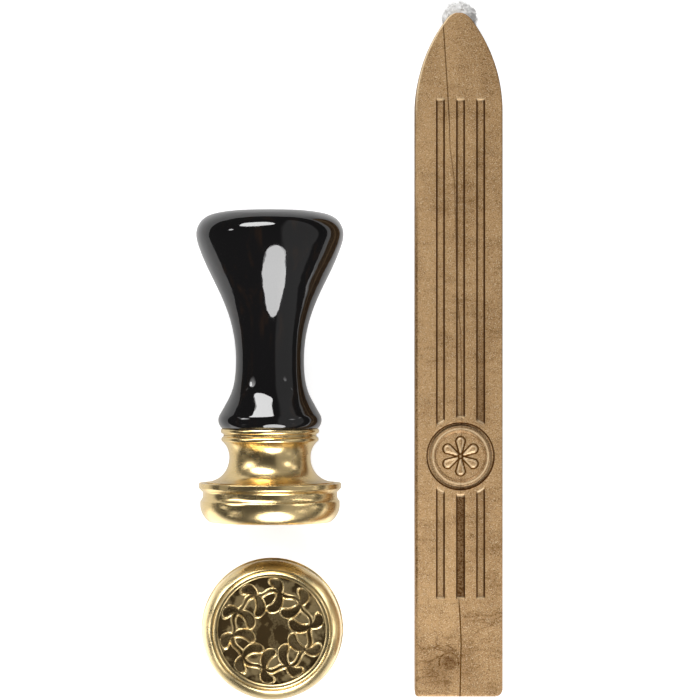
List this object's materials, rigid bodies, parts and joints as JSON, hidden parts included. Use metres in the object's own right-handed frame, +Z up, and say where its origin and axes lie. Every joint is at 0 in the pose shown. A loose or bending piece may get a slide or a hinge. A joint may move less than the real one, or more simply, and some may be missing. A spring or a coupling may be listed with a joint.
{
  "type": "wax seal set",
  "caption": "Wax seal stamp with a turned handle and engraved brass head that unscrews, a loose engraved head, and a flat wicked stick of sealing wax.",
  "frame": {"origin": "on the surface that the set lies on, under the centre of the set's box", "axes": "+Y along the wax stick towards its wick, +X from the stamp to the wax stick, +Z up from the surface"},
  "size_m": [0.054, 0.123, 0.0259],
  "materials": {
    "black_lacquer": "black gloss lacquer on turned wood",
    "polished_brass": "polished, lightly tarnished in the engraving",
    "stud_steel": "turned",
    "gold_wax": "satin gold pearl wax with fine mica",
    "cotton": "undyed cotton"
  },
  "bodies": {
    "seal_head": {"head_neck": "polished_brass", "head_die": "polished_brass"},
    "screw": {"stud": "stud_steel"},
    "grip": {"handle": "black_lacquer", "handle_ferrule": "polished_brass", "handle_insert": "polished_brass"},
    "spare_head": {"loose_neck": "polished_brass", "loose_die": "polished_brass"},
    "sealing_wax": {"wax_stick": "gold_wax", "wick": "cotton"}
  },
  "joints": [
    {"name": "screw_out", "type": "slide", "parent": "seal_head", "child": "screw", "axis": [0, 1, 0.0099], "range_m": [0, 0.007]},
    {"name": "handle_turn", "type": "hinge", "parent": "screw", "child": "grip", "pos_m": [-0.01405, -0.0118, 0.01262], "axis": [0, 1, 0.0099], "range_deg": [0, 2519]},
    {"name": "lift_loose_head", "type": "slide", "parent": "seal_head", "child": "spare_head", "axis": [0, 0, 1], "range_m": [0, 0.03]},
    {"name": "lift_wax", "type": "slide", "parent": "seal_head", "child": "sealing_wax", "axis": [0, 0, 1], "range_m": [0, 0.03]}
  ],
  "couplings": [
    {"joint": "screw_out", "follows": "handle_turn", "m_per_rad": 0.00015915}
  ]
}
